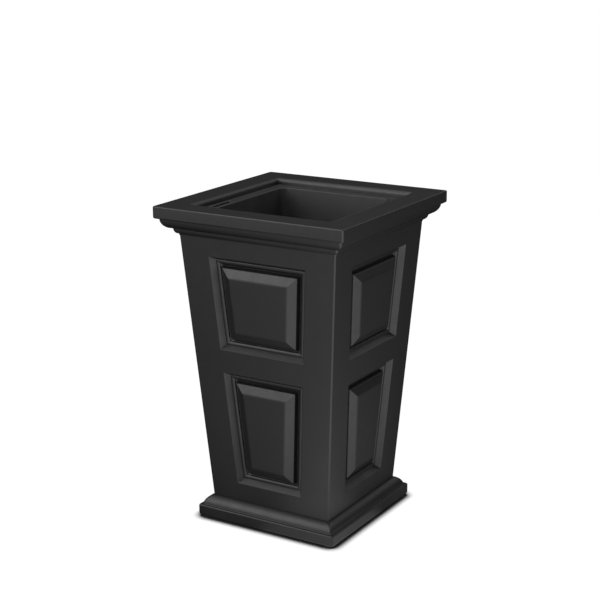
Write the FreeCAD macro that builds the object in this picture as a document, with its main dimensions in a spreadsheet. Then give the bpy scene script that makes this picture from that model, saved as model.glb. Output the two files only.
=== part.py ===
import FreeCAD, Part
import Sketcher
import math
import os

from FreeCAD import Placement, Rotation, Vector

# Tall square planter: a stepped crown and a stepped plinth on a tapered, panelled shell,
# with a lift-out liner hung from the crown and a plugged water pan closing the bottom.
# Millimetres, +Z up, origin on the floor at the middle. The front face looks along -Y.

# Driving dimensions
SIZES = {
    # Whole planter
    "overall_height": 610,
    "rim_width": 397,
    "base_width": 298,
    # Crown moulding, from the fascia down and in to the wall
    "fascia_height": 23,
    "fascia_overhang": 8,
    "upper_ovolo_width": 10,
    "upper_ovolo_height": 18,
    "upper_ovolo_bulge": 3,
    "upper_fillet_width": 7.5,
    "lower_ovolo_width": 3.8,
    "lower_ovolo_height": 11,
    "lower_ovolo_bulge": 1.5,
    "lower_fillet_width": 2,
    "cove_width": 2.9,
    "cove_height": 3.5,
    "cove_lip": 0.8,
    "cove_bulge": 0.5,
    "crown_skin": 4.5,
    "crown_edge_round": 3,
    # Flat rim and the sunk ledge that carries the liner
    "rim_land": 52,
    "rim_drop": 12,
    "mouth_edge_round": 8,
    "ledge_width": 20,
    "ledge_thickness": 8,
    # Shell
    "shell_wall": 4.5,
    "shell_flange": 5,
    "shell_fit": 0.3,
    "corner_round": 3,
    # Raised panels, measured up the leaning face
    "stile_width": 59.5,
    "bottom_rail": 36.5,
    "middle_rail": 43.7,
    "top_rail": 33.4,
    "lower_panel_share": 0.555,
    "slope_width": 9,
    "slope_depth": 11.5,
    "bead_width": 4,
    "step_width": 4,
    "groove_depth": 13.5,
    "groove_width": 2,
    "field_side_width": 2.5,
    "bevel_depth": 8,
    "bevel_width": 16,
    # Plinth
    "block_height": 22,
    "block_step": 5.7,
    "base_ovolo_width": 15.2,
    "base_ovolo_height": 16.5,
    "base_ovolo_bulge": 3.2,
    "base_fillet_width": 1,
    "plinth_skin": 4.5,
    "plinth_floor": 6,
    "floor_flange_width": 14,
    "plinth_edge_round": 3,
    # Push-in feet
    "foot_proud": 2,
    "foot_radius": 11,
    "foot_recess": 4,
    "foot_edge_margin": 3.5,
    "foot_stem_radius": 4,
    "foot_barb_flare": 1,
    "foot_barb_height": 3.5,
    "foot_clearance": 0.2,
    # Water pan
    "pan_clearance": 0.8,
    "pan_height": 36,
    "pan_wall": 3,
    "pan_floor": 4,
    "drain_bore_radius": 11,
    "drain_boss_wall": 7,
    "drain_boss_drop": 5,
    # Drain plug and its washer
    "plug_clearance": 0.3,
    "plug_tip_gap": 1,
    "plug_head_overhang": 2,
    "plug_head_height": 4,
    "loop_radius": 9,
    "loop_wire_radius": 2.2,
    "seal_width": 6,
    "seal_thickness": 2.5,
    # Liner
    "liner_depth": 300,
    "liner_taper": 23,
    "liner_gap": 3,
    "liner_wall": 3.5,
    "liner_floor": 4,
    "liner_corner_round": 18,
    "liner_foot_round": 6,
    "liner_drain_radius": 6,
    "liner_drain_margin": 50,
    "flange_thickness": 5,
    "flange_clearance": 1.5,
    "flange_corner_round": 6,
    # Finger slots in the liner's flange and the notches under them
    "slot_length": 65,
    "slot_width": 13,
    "slot_round": 5,
    "slot_setback": 11.5,
    "slot_corner_gap": 44,
    "notch_margin": 1.5,
    # Drain grid in the liner
    "grid_clearance": 1.5,
    "grid_thickness": 3,
    "grid_leg_height": 20,
    "grid_leg_radius": 6,
    "grid_leg_inset": 21,
    "grid_hole_radius": 4,
    "grid_hole_margin": 37,
    # Screws
    "screw_radius": 2,
    "screw_head_radius": 4,
    "screw_head_height": 2.4,
    "screw_head_sink": 0.4,
    "screw_bite": 4,
    "screw_clearance": 0.2,
    "crown_screw_margin": 9.5,
    "plinth_screw_offset": 70,
}

# Levels and half widths that follow from the driving dimensions
DERIVED = {
    # Crown, from the rim down and in
    "rim_half": "rim_width / 2",
    "mouth_half": "rim_half - rim_land",
    "ledge_half": "mouth_half - ledge_width",
    "ledge_middle": "mouth_half - ledge_width / 2",
    "flange_top": "overall_height - rim_drop",
    "ledge_top": "flange_top - flange_thickness",
    "ledge_bottom": "ledge_top - ledge_thickness",
    "fascia_bottom": "overall_height - fascia_height",
    "upper_ovolo_bottom": "fascia_bottom - upper_ovolo_height",
    "lower_ovolo_bottom": "upper_ovolo_bottom - lower_ovolo_height",
    "crown_bottom": "lower_ovolo_bottom - cove_height",
    "upper_ovolo_out": "rim_half - fascia_overhang",
    "upper_ovolo_in": "upper_ovolo_out - upper_ovolo_width",
    "lower_ovolo_out": "upper_ovolo_in - upper_fillet_width",
    "lower_ovolo_in": "lower_ovolo_out - lower_ovolo_width",
    "cove_out": "lower_ovolo_in - lower_fillet_width",
    "body_top_half": "cove_out - cove_width",
    "cove_run": "cove_width - cove_lip - shell_fit",
    "cove_radius": "(cove_run^2 + cove_height^2) / (8 * cove_bulge) + cove_bulge / 2",
    "upper_ovolo_chord": "sqrt(upper_ovolo_width^2 + upper_ovolo_height^2)",
    "upper_ovolo_radius": "upper_ovolo_chord^2 / (8 * upper_ovolo_bulge) + upper_ovolo_bulge / 2",
    "lower_ovolo_chord": "sqrt(lower_ovolo_width^2 + lower_ovolo_height^2)",
    "lower_ovolo_radius": "lower_ovolo_chord^2 / (8 * lower_ovolo_bulge) + lower_ovolo_bulge / 2",
    # Plinth, from the block up and in
    "base_half": "base_width / 2",
    "plinth_floor_top": "foot_proud + plinth_floor",
    "block_top": "foot_proud + block_height",
    "plinth_top": "block_top + base_ovolo_height",
    "base_ovolo_out": "base_half - block_step",
    "base_ovolo_in": "base_ovolo_out - base_ovolo_width",
    "body_bottom_half": "base_ovolo_in - base_fillet_width",
    "base_ovolo_chord": "sqrt(base_ovolo_width^2 + base_ovolo_height^2)",
    "base_ovolo_radius": "base_ovolo_chord^2 / (8 * base_ovolo_bulge) + base_ovolo_bulge / 2",
    "foot_reach": "base_half - foot_edge_margin - foot_radius",
    "foot_barb_radius": "foot_stem_radius + foot_barb_flare",
    # Lean of the walls
    "lean_slope": "(body_top_half - body_bottom_half) / (crown_bottom - plinth_top)",
    "lean_angle": "atan(lean_slope)",
    # Shell floor, pan and plug levels
    "shell_floor_top": "plinth_floor_top + shell_flange",
    "shell_ceiling": "ledge_bottom - shell_flange",
    "shell_floor_half": "body_bottom_half + lean_slope * (shell_floor_top - plinth_top) - shell_wall",
    "opening_half": "shell_floor_half - floor_flange_width",
    "pan_floor_top": "shell_floor_top + pan_floor",
    "pan_top": "shell_floor_top + pan_height",
    "drain_boss_bottom": "shell_floor_top - drain_boss_drop",
    "seal_top": "pan_floor_top + seal_thickness",
    "plug_head_top": "seal_top + plug_head_height",
    "plug_shank_radius": "drain_bore_radius - plug_clearance",
    "drain_boss_radius": "drain_bore_radius + drain_boss_wall",
    "seal_hole_radius": "plug_shank_radius + plug_clearance",
    "seal_radius": "seal_hole_radius + seal_width",
    "plug_head_radius": "seal_radius + plug_head_overhang",
    # Panels, measured up the face from the plinth's top
    "face_height": "(crown_bottom - plinth_top) / cos(lean_angle)",
    "panel_height": "face_height - bottom_rail - middle_rail - top_rail",
    "lower_panel_head": "bottom_rail + panel_height * lower_panel_share",
    "upper_panel_foot": "lower_panel_head + middle_rail",
    "upper_panel_head": "face_height - top_rail",
    # Liner and grid
    "liner_bottom": "flange_top - liner_depth",
    "liner_floor_top": "liner_bottom + liner_floor",
    "liner_top_half": "ledge_half - liner_gap",
    "liner_bottom_half": "liner_top_half - liner_taper",
    "liner_drain_pitch": "liner_bottom_half - liner_drain_margin",
    "liner_slope": "(liner_top_half - liner_bottom_half) / (ledge_top - liner_bottom)",
    "flange_half": "mouth_half - flange_clearance",
    "slot_middle": "mouth_half - slot_setback",
    "slot_offset": "mouth_half - slot_corner_gap - slot_length / 2",
    "grid_bottom": "liner_floor_top + grid_leg_height",
    "grid_room": "liner_bottom_half + liner_slope * (grid_bottom - liner_bottom) - liner_wall",
    "grid_half": "grid_room - grid_clearance",
    "grid_leg_offset": "grid_half - grid_leg_inset",
    "grid_hole_pitch": "(grid_half - grid_hole_margin) / 2",
    # Screws
    "screw_hole_radius": "screw_radius + screw_clearance",
    "counterbore_radius": "screw_head_radius + screw_clearance",
    "counterbore_depth": "screw_head_height + screw_head_sink",
    "crown_screw_offset": "mouth_half - slot_corner_gap + notch_margin + crown_screw_margin",
    "plinth_screw_reach": "opening_half + floor_flange_width / 2",
}

NOTHING = 1e-6
SAME_PLACE = 1e-3
OVERRUN = "1"

doc = FreeCAD.newDocument("tall_planter")
sheet = doc.addObject("Spreadsheet::Sheet", "size")


def fill_sheet():
    """Write every size into the sheet, with its name as the alias."""
    rows = dict(SIZES)
    rows.update({name: "=" + formula for name, formula in DERIVED.items()})
    for row, (name, value) in enumerate(rows.items(), start=1):
        sheet.set(f"A{row}", name)
        sheet.set(f"B{row}", str(value))
        sheet.setAlias(f"B{row}", name)
    doc.recompute()


def number(expression):
    """The present value of an expression."""
    return float(sheet.evalExpression(expression))


def minus(expression):
    """The expression with its sign turned."""
    return f"-({expression})"


def wall_half(level):
    """Half width of the shell's outside at a level."""
    return f"(size.body_bottom_half + size.lean_slope * ({level} - size.plinth_top))"


def inner_wall_half(level):
    """Half width of the shell's inside at a level."""
    return f"({wall_half(level)} - size.shell_wall)"


def liner_half(level):
    """Half width of the liner's outside at a level."""
    return f"(size.liner_bottom_half + size.liner_slope * ({level} - size.liner_bottom))"


def new_body(name):
    """An empty body that takes its file name from its label."""
    body = doc.addObject("PartDesign::Body", name)
    body.Label = name
    return body


def origin_of(body, role):
    """One of the body's own origin planes or axes."""
    return next(item for item in body.Origin.OriginFeatures if item.Role == role)


def attach(feature, body, role, offset, turn_axis=None):
    """Lay a feature on an origin plane, moved by three expressions; a turn axis leans it with the wall."""
    feature.AttachmentSupport = [(origin_of(body, role), "")]
    feature.MapMode = "FlatFace"
    if turn_axis is not None:
        start = number("size.lean_angle")
        feature.AttachmentOffset = Placement(Vector(), Rotation(turn_axis, start))
        feature.setExpression(".AttachmentOffset.Rotation.Angle", "size.lean_angle")
    for axis, expression in zip("xyz", offset):
        if expression != "0":
            feature.setExpression(f".AttachmentOffset.Base.{axis}", expression)


def new_sketch(body, name, role, offset=("0", "0", "0"), turn_axis=None):
    """An empty sketch on one of the body's origin planes."""
    sketch = body.newObject("Sketcher::SketchObject", name)
    attach(sketch, body, role, offset, turn_axis)
    return sketch


def level_sketch(body, name, level):
    """An empty sketch that lies flat at a level."""
    return new_sketch(body, name, "XY_Plane", ("0", "0", level))


def pin_point(sketch, geometry, end, across, up):
    """Hold one point of a sketch at two expressions from the sketch's origin."""
    rules = (("DistanceX", across, -2), ("DistanceY", up, -1))
    for kind, expression, axis in rules:
        value = number(expression)
        if abs(value) < NOTHING:
            sketch.addConstraint(Sketcher.Constraint("PointOnObject", geometry, end, axis))
            continue
        index = sketch.addConstraint(Sketcher.Constraint(kind, -1, 1, geometry, end, value))
        sketch.setExpression(f"Constraints[{index}]", expression)


def bulged_arc(start, finish, radius):
    """An arc between two points; a positive radius bulges to the right of the way from start to finish."""
    chord = finish - start
    middle = (start + finish) * 0.5
    right = Vector(chord.y, -chord.x, 0).normalize()
    rise = abs(radius) - math.sqrt(radius ** 2 - (chord.Length / 2) ** 2)
    return Part.Arc(start, middle + right * math.copysign(rise, radius), finish)


def draw_outline(sketch, corners, arcs=None):
    """Draw a closed outline; arcs gives the side and radius of each curved stretch by its first corner."""
    arcs = arcs or {}
    points = [Vector(number(across), number(up), 0) for across, up in corners]
    for index, start in enumerate(points):
        finish = points[(index + 1) % len(points)]
        if index in arcs:
            side, radius = arcs[index]
            sketch.addGeometry(bulged_arc(start, finish, side * number(radius)), False)
        else:
            sketch.addGeometry(Part.LineSegment(start, finish), False)
    for index, point in enumerate(points):
        before = (index - 1) % len(points)
        end = nearest_end(sketch, index, point)
        end_before = nearest_end(sketch, before, point)
        sketch.addConstraint(Sketcher.Constraint("Coincident", index, end, before, end_before))
        pin_point(sketch, index, end, *corners[index])
    for index, (side, radius) in arcs.items():
        rule = sketch.addConstraint(Sketcher.Constraint("Radius", index, number(radius)))
        sketch.setExpression(f"Constraints[{rule}]", radius)


def nearest_end(sketch, geometry, point):
    """Which end of a line or arc, 1 or 2, lies at a point."""
    gaps = [(sketch.getPoint(geometry, end) - point).Length for end in (1, 2)]
    return 1 + gaps.index(min(gaps))


def draw_circles(sketch, centres, radius):
    """Draw equal circles at a list of centres."""
    for index, (across, up) in enumerate(centres):
        centre = Vector(number(across), number(up), 0)
        sketch.addGeometry(Part.Circle(centre, Vector(0, 0, 1), number(radius)), False)
        pin_point(sketch, index, 3, across, up)
        rule = sketch.addConstraint(Sketcher.Constraint("Radius", index, number(radius)))
        sketch.setExpression(f"Constraints[{rule}]", radius)


def square_corners(half):
    """The four corners of a centred square."""
    low = minus(half)
    return [(low, low), (half, low), (half, half), (low, half)]


def rounded_rectangle(middle, halves, radius):
    """Corners and arcs of a rectangle with rounded corners."""
    (across, up), (half_across, half_up) = middle, halves
    left, right = f"({across} - {half_across})", f"({across} + {half_across})"
    low, high = f"({up} - {half_up})", f"({up} + {half_up})"
    corners = [
        (f"{left} + {radius}", low), (f"{right} - {radius}", low),
        (right, f"{low} + {radius}"), (right, f"{high} - {radius}"),
        (f"{right} - {radius}", high), (f"{left} + {radius}", high),
        (left, f"{high} - {radius}"), (left, f"{low} + {radius}"),
    ]
    arcs = {index: (1, radius) for index in (1, 3, 5, 7)}
    return corners, arcs


def frustum(body, kind, name, low, low_half, high, high_half):
    """A square block between two levels that widens or narrows evenly; kind is Additive or Subtractive."""
    wedge = body.newObject(f"PartDesign::{kind}Wedge", name)
    attach(wedge, body, "XZ_Plane", ("0", "0", "0"))
    wedge.setExpression("Ymin", low)
    wedge.setExpression("Ymax", high)
    for axis in "XZ":
        wedge.setExpression(f"{axis}min", minus(low_half))
        wedge.setExpression(f"{axis}max", low_half)
        wedge.setExpression(f"{axis}2min", minus(high_half))
        wedge.setExpression(f"{axis}2max", high_half)
    doc.recompute()
    return wedge


def extrude(body, kind, name, sketch, length, reversed_way=False):
    """A Pad upwards or a Pocket downwards from a flat sketch, or the other way round."""
    feature = body.newObject(f"PartDesign::{kind}", name)
    feature.Profile = sketch
    feature.setExpression("Length", length)
    feature.Reversed = reversed_way
    doc.recompute()
    return feature


def revolve(body, name, sketch, axis, angle=360, reversed_way=False):
    """Turn a sketch about one of its own axes."""
    feature = body.newObject("PartDesign::Revolution", name)
    feature.Profile = sketch
    feature.ReferenceAxis = (sketch, [axis])
    feature.Angle = angle
    feature.Reversed = reversed_way
    doc.recompute()
    return feature


def sweep(body, kind, name, section, spine):
    """Carry a section round a four-sided spine with mitred corners; kind is Additive or Subtractive."""
    feature = body.newObject(f"PartDesign::{kind}Pipe", name)
    feature.Profile = section
    feature.Spine = (spine, ["Edge1", "Edge2", "Edge3", "Edge4"])
    feature.Transition = "Right corner"
    doc.recompute()
    return feature


def round_edges(body, name, base, radius, wanted):
    """Round the edges of a feature that pass a test."""
    names = [f"Edge{index}" for index, edge in enumerate(base.Shape.Edges, start=1) if wanted(edge)]
    feature = body.newObject("PartDesign::Fillet", name)
    feature.Base = (base, names)
    feature.setExpression("Radius", radius)
    doc.recompute()
    return feature


def four_ways(body, name, features):
    """Repeat features four times about the vertical axis."""
    pattern = body.newObject("PartDesign::PolarPattern", name)
    pattern.Originals = features
    pattern.Axis = (origin_of(body, "Z_Axis"), [""])
    pattern.Angle = 360
    pattern.Occurrences = 4
    body.Tip = pattern
    doc.recompute()
    return pattern


def reach(point):
    """How far a point stands from the vertical axis, square-wise."""
    return max(abs(point.x), abs(point.y))


def all_ends(edge, test):
    """Whether every end of an edge passes a test."""
    return all(test(vertex.Point) for vertex in edge.Vertexes)


def at_reach(expression):
    """A test for edges that lie wholly on the four sides of a square."""
    half = number(expression)
    return lambda edge: all_ends(edge, lambda point: abs(reach(point) - half) < SAME_PLACE)


def at_reach_and_level(expression, level):
    """A test for the edges of a flat square at a level."""
    on_sides = at_reach(expression)
    height = number(level)
    return lambda edge: on_sides(edge) and all_ends(edge, lambda point: abs(point.z - height) < SAME_PLACE)


def corner_edge(low, high):
    """A test for the four edges that climb a square block's corners between two levels."""
    bottom, top = number(low), number(high)

    def wanted(edge):
        on_corner = all_ends(edge, lambda point: abs(abs(point.x) - abs(point.y)) < SAME_PLACE)
        levels = [vertex.Point.z for vertex in edge.Vertexes]
        full_height = abs(min(levels) - bottom) < SAME_PLACE and abs(max(levels) - top) < SAME_PLACE
        return on_corner and full_height

    return wanted


def mitred_frame(name, corners, arcs):
    """A body made by carrying a section, in (reach, level) pairs, round a square with mitred corners."""
    body = new_body(name)
    spine = level_sketch(body, f"{name}_path", "0")
    draw_outline(spine, square_corners("size.base_half"))
    section = new_sketch(body, f"{name}_section", "YZ_Plane")
    draw_outline(section, [(minus(out), level) for out, level in corners], arcs)
    doc.recompute()
    return body, sweep(body, "Additive", f"{name}_frame", section, spine)


def screw_places(reach_out, along):
    """Eight places, two on each side of a square."""
    places = []
    for side in (reach_out, minus(reach_out)):
        for shift in (along, minus(along)):
            places.append((side, shift))
            places.append((shift, side))
    return places


def drill(body, name, places, radius, top, depth):
    """Straight round holes that go down from a level."""
    sketch = level_sketch(body, f"{name}_plan", top)
    draw_circles(sketch, places, radius)
    doc.recompute()
    return extrude(body, "Pocket", name, sketch, depth)


def notch(body, name, top, depth):
    """Two finger notches through a ledge, one on the left near the front, one on the right near the back."""
    half_length = "(size.slot_length / 2 + size.notch_margin)"
    far = "(size.slot_middle + size.slot_width / 2 + size.notch_margin)"
    near = f"(size.ledge_half - {OVERRUN})"
    for side, turn in (("left", -1), ("right", 1)):
        sketch = level_sketch(body, f"{name}_{side}_plan", top)
        low = f"{turn} * size.slot_offset - {half_length}"
        high = f"{turn} * size.slot_offset + {half_length}"
        outer, inner = f"{turn} * {far}", f"{turn} * {near}"
        draw_outline(sketch, [(outer, low), (inner, low), (inner, high), (outer, high)])
        doc.recompute()
        extrude(body, "Pocket", f"{name}_{side}", sketch, depth)


def make_crown():
    """Hollow crown frame: fascia, two ovolos and a cove outside, flat rim on top, sunk ledge inside."""
    lip_top = "(size.upper_ovolo_bottom + size.crown_skin)"
    nose = f"({wall_half('size.ledge_bottom')} + size.shell_fit)"
    corners = [
        ("size.body_top_half + size.shell_fit", "size.crown_bottom"),
        ("size.body_top_half + size.shell_fit + size.cove_lip", "size.crown_bottom"),
        ("size.cove_out", "size.lower_ovolo_bottom"),
        ("size.lower_ovolo_in", "size.lower_ovolo_bottom"),
        ("size.lower_ovolo_out", "size.upper_ovolo_bottom"),
        ("size.upper_ovolo_in", "size.upper_ovolo_bottom"),
        ("size.upper_ovolo_out", "size.fascia_bottom"),
        ("size.rim_half", "size.fascia_bottom"),
        ("size.rim_half", "size.overall_height"),
        ("size.mouth_half", "size.overall_height"),
        ("size.mouth_half", "size.ledge_top"),
        ("size.ledge_half", "size.ledge_top"),
        ("size.ledge_half", "size.ledge_bottom"),
        (nose, "size.ledge_bottom"),
        (nose, "size.ledge_top"),
        ("size.mouth_half + size.crown_skin", "size.ledge_top"),
        ("size.mouth_half + size.crown_skin", "size.overall_height - size.crown_skin"),
        ("size.rim_half - size.crown_skin", "size.overall_height - size.crown_skin"),
        ("size.rim_half - size.crown_skin", "size.fascia_bottom + size.crown_skin"),
        ("size.upper_ovolo_out - size.crown_skin", "size.fascia_bottom + size.crown_skin"),
        ("size.upper_ovolo_in - size.crown_skin", lip_top),
        (f"{wall_half(lip_top)} + size.shell_fit", lip_top),
    ]
    arcs = {
        1: (1, "size.cove_radius"),
        3: (-1, "size.lower_ovolo_radius"),
        5: (-1, "size.upper_ovolo_radius"),
    }
    body, frame = mitred_frame("crown_rim", corners, arcs)
    rounded = round_edges(body, "fascia_rounds", frame, "size.crown_edge_round", at_reach("size.rim_half"))
    mouth_edges = at_reach_and_level("size.mouth_half", "size.overall_height")
    round_edges(body, "mouth_rounds", rounded, "size.mouth_edge_round", mouth_edges)
    notch(body, "ledge_notch", "size.ledge_top", "size.ledge_thickness")
    places = screw_places("size.ledge_middle", "size.crown_screw_offset")
    drill(body, "screw_holes", places, "size.screw_hole_radius", "size.ledge_top", "size.ledge_thickness")
    drill(body, "screw_seats", places, "size.counterbore_radius", "size.ledge_top", "size.counterbore_depth")
    return body


def panel_features(body, name, foot, head):
    """One raised panel on the front face: a backing bulge inside, then the moulding cut round the field."""
    lean_foot = ("0", "size.plinth_top", "size.body_bottom_half")
    path = new_sketch(body, f"{name}_path", "XZ_Plane", lean_foot, Vector(1, 0, 0))

    def half_at(height):
        return f"(size.body_bottom_half + {height} * sin(size.lean_angle) - size.stile_width)"

    draw_outline(path, [
        (minus(half_at(foot)), foot),
        (half_at(foot), foot),
        (half_at(head), head),
        (minus(half_at(head)), head),
    ])
    bead_start = f"{foot} + size.slope_width"
    groove_start = f"{bead_start} + size.bead_width + size.step_width"
    groove_end = f"{groove_start} + size.groove_width"
    bevel_foot = f"{groove_end} + size.field_side_width"
    field_edge = f"{bevel_foot} + size.bevel_width"
    backing_depth = "(size.groove_depth + size.shell_wall)"
    side_view = (minus("size.body_bottom_half"), "size.plinth_top", "0")
    backing_section = new_sketch(body, f"{name}_backing_section", "YZ_Plane", side_view, Vector(0, 0, 1))
    draw_outline(backing_section, [
        ("size.shell_wall / 2", f"{foot} - size.shell_wall"),
        ("size.shell_wall", f"{foot} - size.shell_wall"),
        (backing_depth, bead_start),
        (backing_depth, groove_end),
        ("size.bevel_depth + size.shell_wall", f"{bevel_foot} + size.shell_wall"),
        ("size.shell_wall", f"{field_edge} + size.shell_wall"),
        ("size.shell_wall / 2", f"{field_edge} + size.shell_wall"),
    ])
    moulding_section = new_sketch(body, f"{name}_moulding_section", "YZ_Plane", side_view, Vector(0, 0, 1))
    draw_outline(moulding_section, [
        (minus(OVERRUN), foot),
        ("0", foot),
        ("size.slope_depth", bead_start),
        ("size.slope_depth", f"{bead_start} + size.bead_width"),
        ("size.groove_depth", groove_start),
        ("size.groove_depth", groove_end),
        ("size.bevel_depth", bevel_foot),
        ("0", field_edge),
        (minus(OVERRUN), field_edge),
    ])
    doc.recompute()
    backing = sweep(body, "Additive", f"{name}_backing", backing_section, path)
    moulding = sweep(body, "Subtractive", f"{name}_moulding", moulding_section, path)
    return [backing, moulding]


def make_shell():
    """Tapered shell with turned-in flanges at top and bottom and two raised panels on each face."""
    body = new_body("body_shell")
    bottom, top = "size.plinth_floor_top", "size.ledge_bottom"
    floor, ceiling = "size.shell_floor_top", "size.shell_ceiling"
    mouth, drain = "size.ledge_half", "size.opening_half"
    block = frustum(body, "Additive", "block", bottom, wall_half(bottom), top, wall_half(top))
    round_edges(body, "corner_rounds", block, "size.corner_round", corner_edge(bottom, top))
    frustum(body, "Subtractive", "hollow", floor, inner_wall_half(floor), ceiling, inner_wall_half(ceiling))
    frustum(body, "Subtractive", "top_opening", ceiling, mouth, top, mouth)
    frustum(body, "Subtractive", "floor_opening", bottom, drain, floor, drain)
    notch(body, "flange_notch", top, "size.shell_flange")
    drill(body, "crown_screw_holes", screw_places("size.ledge_middle", "size.crown_screw_offset"),
          "size.screw_hole_radius", top, "size.shell_flange")
    drill(body, "plinth_screw_holes", screw_places("size.plinth_screw_reach", "size.plinth_screw_offset"),
          "size.screw_hole_radius", floor, "size.shell_flange")
    features = panel_features(body, "lower_panel", "size.bottom_rail", "size.lower_panel_head")
    features += panel_features(body, "upper_panel", "size.upper_panel_foot", "size.upper_panel_head")
    four_ways(body, "panels", features)
    return body


def foot_places():
    """Where the four feet stand."""
    return square_corners("size.foot_reach")


def make_plinth():
    """Plinth frame: block and half-round outside, open behind to the shell, with a floor flange inside."""
    skin_corner = "size.block_top - size.plinth_skin"
    lip_bottom = "(size.plinth_top - size.plinth_skin)"
    corners = [
        ("size.opening_half", "size.foot_proud"),
        ("size.base_half", "size.foot_proud"),
        ("size.base_half", "size.block_top"),
        ("size.base_ovolo_out", "size.block_top"),
        ("size.base_ovolo_in", "size.plinth_top"),
        ("size.body_bottom_half + size.shell_fit", "size.plinth_top"),
        (f"{wall_half(lip_bottom)} + size.shell_fit", lip_bottom),
        ("size.base_ovolo_out - size.plinth_skin", skin_corner),
        ("size.base_half - size.plinth_skin", skin_corner),
        ("size.base_half - size.plinth_skin", "size.plinth_floor_top"),
        ("size.opening_half", "size.plinth_floor_top"),
    ]
    body, frame = mitred_frame("base_plinth", corners, {3: (-1, "size.base_ovolo_radius")})
    round_edges(body, "block_rounds", frame, "size.plinth_edge_round", at_reach("size.base_half"))
    places = screw_places("size.plinth_screw_reach", "size.plinth_screw_offset")
    drill(body, "screw_holes", places, "size.screw_hole_radius", "size.plinth_floor_top", "size.plinth_floor")
    seat_top = "size.foot_proud + size.counterbore_depth"
    drill(body, "screw_seats", places, "size.counterbore_radius", seat_top, "size.counterbore_depth")
    stem_radius = "size.foot_stem_radius + size.foot_clearance"
    drill(body, "stem_holes", foot_places(), stem_radius, "size.plinth_floor_top", "size.plinth_floor")
    recess_top = "size.foot_proud + size.foot_recess"
    recess_radius = "size.foot_radius + size.foot_clearance"
    drill(body, "foot_recesses", foot_places(), recess_radius, recess_top, "size.foot_recess")
    return body


def turned(body, name, place, half_section):
    """Turn a half section, in (radius, level) pairs, about a vertical axis at a place on the plan."""
    across, back = place
    sketch = new_sketch(body, f"{name}_section", "XZ_Plane", (across, "0", minus(back)))
    draw_outline(sketch, half_section)
    doc.recompute()
    return revolve(body, name, sketch, "V_Axis")


def make_feet():
    """Four rubber feet, each a disc in the plinth's recess with a barbed stem pushed through its floor."""
    body = new_body("foot_pads")
    shoulder = "(size.foot_proud + size.foot_recess)"
    barb_foot = "size.plinth_floor_top"
    half_section = [
        ("0", "0"),
        ("size.foot_radius", "0"),
        ("size.foot_radius", shoulder),
        ("size.foot_stem_radius", shoulder),
        ("size.foot_stem_radius", barb_foot),
        ("size.foot_barb_radius", barb_foot),
        ("size.foot_stem_radius / 2", f"{barb_foot} + size.foot_barb_height"),
        ("0", f"{barb_foot} + size.foot_barb_height"),
    ]
    foot = turned(body, "foot", foot_places()[1], half_section)
    four_ways(body, "feet", [foot])
    return body


def make_screws(name, reach_out, along, seat, end, way):
    """Eight pan-head screws; way is 1 where the head is above the seat and -1 where it is below."""
    body = new_body(name)
    head_face = f"{seat} + {way} * size.screw_head_height"
    half_section = [
        ("0", head_face),
        ("size.screw_head_radius", head_face),
        ("size.screw_head_radius", seat),
        ("size.screw_radius", seat),
        ("size.screw_radius", end),
        ("0", f"{end} - {way} * size.screw_radius / 2"),
    ]
    if way < 0:
        half_section.reverse()
    screws = []
    for side, shift in (("left", minus(along)), ("right", along)):
        screws.append(turned(body, f"{side}_screw", (shift, minus(reach_out)), half_section))
    four_ways(body, "screws", screws)
    return body


def make_crown_screws():
    """Screws down through the ledge into the shell's top flange."""
    seat = "(size.ledge_top - size.counterbore_depth)"
    end = "(size.ledge_bottom - size.screw_bite + size.screw_radius / 2)"
    return make_screws("crown_screws", "size.ledge_middle", "size.crown_screw_offset", seat, end, 1)


def make_plinth_screws():
    """Screws up through the plinth's floor into the shell's bottom flange."""
    seat = "(size.foot_proud + size.counterbore_depth)"
    end = "(size.plinth_floor_top + size.screw_bite - size.screw_radius / 2)"
    return make_screws("plinth_screws", "size.plinth_screw_reach", "size.plinth_screw_offset", seat, end, -1)


def make_pan():
    """Water pan that stands on the shell's bottom flange, with a drain boss under its middle."""
    body = new_body("floor_pan")

    def outside(level):
        return f"({inner_wall_half(level)} - size.pan_clearance)"

    def inside(level):
        return f"({outside(level)} - size.pan_wall)"

    low, floor, top = "size.shell_floor_top", "size.pan_floor_top", "size.pan_top"
    frustum(body, "Additive", "pan_block", low, outside(low), top, outside(top))
    frustum(body, "Subtractive", "pan_hollow", floor, inside(floor), top, inside(top))
    boss_plan = level_sketch(body, "boss_plan", low)
    draw_circles(boss_plan, [("0", "0")], "size.drain_boss_radius")
    doc.recompute()
    extrude(body, "Pad", "drain_boss", boss_plan, "size.drain_boss_drop", reversed_way=True)
    bore_length = "size.pan_floor + size.drain_boss_drop"
    drill(body, "drain_bore", [("0", "0")], "size.drain_bore_radius", floor, bore_length)
    return body


def make_plug():
    """Drain plug: a shank in the bore, a wide head over the washer and a pull loop."""
    body = new_body("drain_plug")
    tip = "size.drain_boss_bottom + size.plug_tip_gap"
    turned(body, "stopper", ("0", "0"), [
        ("0", tip),
        ("size.plug_shank_radius", tip),
        ("size.plug_shank_radius", "size.seal_top"),
        ("size.plug_head_radius", "size.seal_top"),
        ("size.plug_head_radius", "size.plug_head_top"),
        ("0", "size.plug_head_top"),
    ])
    wire = level_sketch(body, "loop_wire", "size.plug_head_top - size.loop_wire_radius")
    draw_circles(wire, [("size.loop_radius", "0")], "size.loop_wire_radius")
    doc.recompute()
    revolve(body, "pull_loop", wire, "V_Axis", angle=180, reversed_way=True)
    return body


def make_seal():
    """Flat rubber washer between the plug's head and the pan's floor."""
    body = new_body("drain_seal")
    hole = "size.seal_hole_radius"
    turned(body, "washer", ("0", "0"), [
        (hole, "size.pan_floor_top"),
        ("size.seal_radius", "size.pan_floor_top"),
        ("size.seal_radius", "size.seal_top"),
        (hole, "size.seal_top"),
    ])
    return body


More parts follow.
